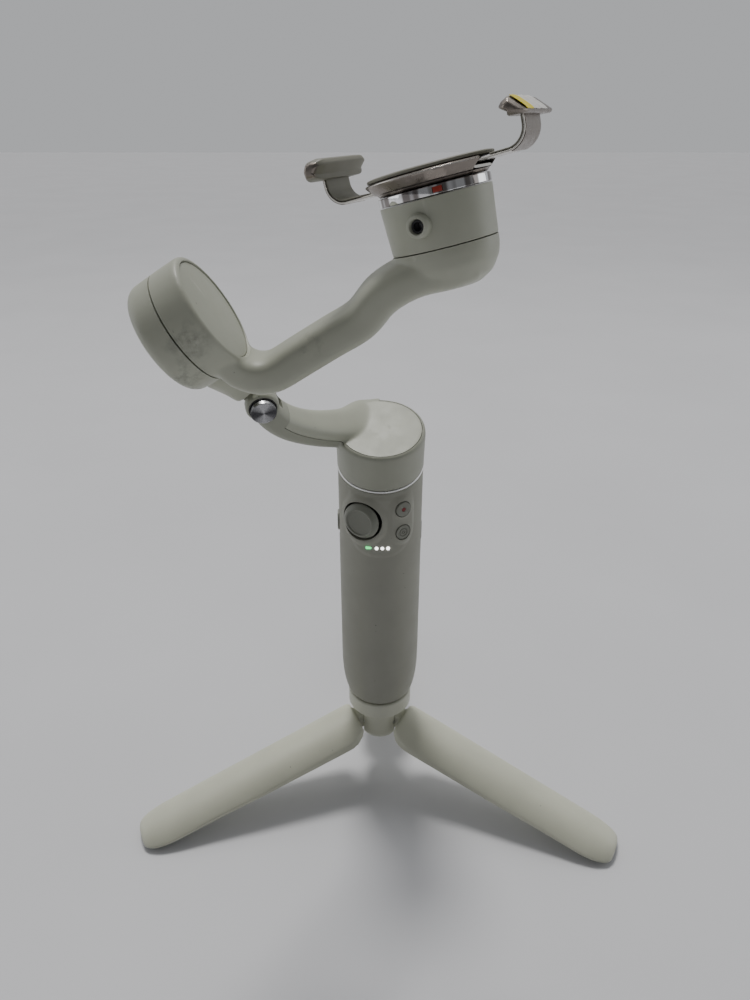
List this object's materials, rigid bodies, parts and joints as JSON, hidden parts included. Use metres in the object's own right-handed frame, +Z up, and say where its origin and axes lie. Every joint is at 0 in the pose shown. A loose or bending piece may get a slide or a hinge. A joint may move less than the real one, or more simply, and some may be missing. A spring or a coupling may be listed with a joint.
{
  "type": "camera gimbal",
  "caption": "Folding motorised stabiliser for a phone: slim handle on a small tripod, a telescopic rod, angled arms with drum motors, and a sprung clamp held by a magnet.",
  "frame": {"origin": "on the table, under the middle of the object's bounding box", "axes": "+Z up, -Y towards the user's side with the joystick, +X to the user's right"},
  "size_m": [0.2412, 0.2134, 0.3296],
  "materials": {
    "shell": "satin, warm grey-green",
    "grip": "soft-touch, darker grey-green",
    "leg": "satin, pale grey-green",
    "pale": "satin, pale",
    "pad": "fine matt coating",
    "metal": "bead-blasted, dark greige",
    "steel": "brushed",
    "chrome": "polished",
    "magnet": "dark plated",
    "copper": "wound wire on a core",
    "dark": "black",
    "rubber": "matt",
    "cell": "wrapped cell",
    "board": "circuit board",
    "lamp": "clear light guide",
    "red": "painted"
  },
  "bodies": {
    "tripod": {"tripod_hub": "leg", "tripod_collar_band": "pale", "tripod_stud": "steel", "leg_pin_left": "steel", "leg_pin_right": "steel", "leg_pin_rear": "steel"},
    "leg_left": {"leg_left": "leg", "foot_pad_left": "rubber"},
    "leg_right": {"leg_right": "leg", "foot_pad_right": "rubber"},
    "leg_rear": {"leg_rear": "leg", "foot_pad_rear": "rubber"},
    "handle": {"handle_shell": "grip", "handle_base_cap": "grip", "thread_insert": "steel", "handle_top_ring": "chrome", "battery": "cell", "main_board": "board", "rod_guide": "dark", "usb_port": "steel", "lamp_window": "lamp", "trigger_pin": "steel"},
    "joystick_ring": {"joystick_gimbal_ring": "dark"},
    "joystick": {"joystick_cap": "grip"},
    "record_button": {"record_button": "grip"},
    "mode_button": {"mode_button": "grip"},
    "zoom_slider": {"zoom_slider": "grip"},
    "side_button": {"side_button": "grip"},
    "trigger": {"trigger": "grip"},
    "rod_outer": {"rod_outer_tube": "steel"},
    "rod_middle": {"rod_middle_tube": "steel"},
    "rod_head": {"rod_inner_tube": "steel", "rod_head": "dark", "pan_stator": "copper", "pan_bearing": "steel"},
    "pan_arm": {"pan_arm_housing": "shell", "pan_top_cover": "shell", "pan_rotor": "magnet", "fold_pin": "steel"},
    "fold_link": {"tilt_base_shell": "shell", "tilt_stator": "copper", "tilt_bearing": "steel"},
    "tilt_arm": {"tilt_arm": "shell", "tilt_face_cover": "shell", "tilt_rotor": "magnet", "roll_stator": "copper", "roll_bearing": "steel"},
    "roll_drum": {"roll_drum_shell": "shell", "roll_rotor": "magnet", "side_socket_sleeve": "dark", "mount_ring": "chrome", "mount_marker": "red", "mount_magnet": "magnet"},
    "clamp": {"clamp_base": "metal", "clamp_front_pad": "pad"},
    "clamp_pinion": {"clamp_pinion": "steel"},
    "clamp_left": {"clamp_arm_left": "metal", "clamp_jaw_left": "metal"},
    "clamp_right": {"clamp_arm_right": "metal", "clamp_jaw_right": "metal"}
  },
  "joints": [
    {"name": "leg_left_fold", "type": "hinge", "parent": "tripod", "child": "leg_left", "pos_m": [-0.00727, -0.02879, 0.037], "axis": [0.3987, -0.9171, 0], "range_deg": [0, 71]},
    {"name": "leg_right_fold", "type": "hinge", "parent": "tripod", "child": "leg_right", "pos_m": [0.01076, -0.02943, 0.037], "axis": [0.4633, 0.8862, 0], "range_deg": [0, 71]},
    {"name": "leg_rear_fold", "type": "hinge", "parent": "tripod", "child": "leg_rear", "pos_m": [0.00223, -0.01481, 0.037], "axis": [-0.9995, 0.0332, 0], "range_deg": [0, 71]},
    {"name": "handle_unscrew", "type": "slide", "parent": "tripod", "child": "handle", "axis": [0, 0, 1], "range_m": [0, 0.012]},
    {"name": "rod_outer_slide", "type": "slide", "parent": "handle", "child": "rod_outer", "axis": [0, 0, 1], "range_m": [0, 0.07]},
    {"name": "rod_middle_slide", "type": "slide", "parent": "rod_outer", "child": "rod_middle", "axis": [0, 0, 1], "range_m": [0, 0.07]},
    {"name": "rod_inner_slide", "type": "slide", "parent": "rod_middle", "child": "rod_head", "axis": [0, 0, 1], "range_m": [0, 0.07]},
    {"name": "pan_joint", "type": "hinge", "parent": "rod_head", "child": "pan_arm", "pos_m": [0.0019, -0.0248, 0.186], "axis": [0, -0.342, 0.9397], "range_deg": [-162, 174]},
    {"name": "fold_joint", "type": "hinge", "parent": "pan_arm", "child": "fold_link", "pos_m": [-0.04485, -0.0578, 0.2276], "axis": [0.2419, -0.9118, -0.3319], "range_deg": [0, 96]},
    {"name": "tilt_joint", "type": "hinge", "parent": "fold_link", "child": "tilt_arm", "pos_m": [-0.0632, -0.0818, 0.2618], "axis": [0.8522, 0, 0.5232], "range_deg": [-102, 79]},
    {"name": "roll_joint", "type": "hinge", "parent": "tilt_arm", "child": "roll_drum", "pos_m": [0.0177, -0.0783, 0.3056], "axis": [-0.2384, 0.1219, 0.9635], "range_deg": [-120, 212]},
    {"name": "clamp_lift", "type": "slide", "parent": "roll_drum", "child": "clamp", "axis": [-0.2384, 0.1219, 0.9635], "range_m": [0, 0.012]},
    {"name": "clamp_left_slide", "type": "slide", "parent": "clamp", "child": "clamp_left", "axis": [-0.8674, 0.4195, -0.2677], "range_m": [0, 0.011], "stiffness_N_per_m": 250, "springref_m": -0.006},
    {"name": "clamp_right_slide", "type": "slide", "parent": "clamp", "child": "clamp_right", "axis": [0.8674, -0.4195, 0.2677], "range_m": [0, 0.011]},
    {"name": "clamp_pinion_spin", "type": "hinge", "parent": "clamp", "child": "clamp_pinion", "pos_m": [0.0177, -0.0783, 0.3056], "axis": [-0.2384, 0.1219, 0.9635], "range_deg": [-260, 0]},
    {"name": "joystick_side_tilt", "type": "hinge", "parent": "handle", "child": "joystick_ring", "pos_m": [-0.00444, -0.03751, 0.1643], "axis": [0, 0, 1], "range_deg": [-12, 12], "stiffness_Nm_per_rad": 0.02},
    {"name": "joystick_up_tilt", "type": "hinge", "parent": "joystick_ring", "child": "joystick", "pos_m": [-0.00444, -0.03751, 0.1643], "axis": [0.8949, -0.4462, 0], "range_deg": [-12, 12], "stiffness_Nm_per_rad": 0.02},
    {"name": "record_press", "type": "slide", "parent": "handle", "child": "record_button", "axis": [-0.5, 0.866, 0], "range_m": [0, 0.0006], "stiffness_N_per_m": 800},
    {"name": "mode_press", "type": "slide", "parent": "handle", "child": "mode_button", "axis": [-0.5, 0.866, 0], "range_m": [0, 0.0006], "stiffness_N_per_m": 800},
    {"name": "zoom_slide", "type": "slide", "parent": "handle", "child": "zoom_slider", "axis": [0, 0, 1], "range_m": [-0.0025, 0.0025], "stiffness_N_per_m": 200},
    {"name": "side_press", "type": "slide", "parent": "handle", "child": "side_button", "axis": [-1, 0, 0], "range_m": [0, 0.0006], "stiffness_N_per_m": 800},
    {"name": "trigger_press", "type": "hinge", "parent": "handle", "child": "trigger", "pos_m": [0.0019, -0.0084, 0.17], "axis": [-1, 0, 0], "range_deg": [0, 6], "stiffness_Nm_per_rad": 0.3}
  ],
  "couplings": [
    {"joint": "clamp_right_slide", "follows": "clamp_left_slide", "ratio": 1},
    {"joint": "clamp_pinion_spin", "follows": "clamp_left_slide", "rad_per_m": -408}
  ]
}
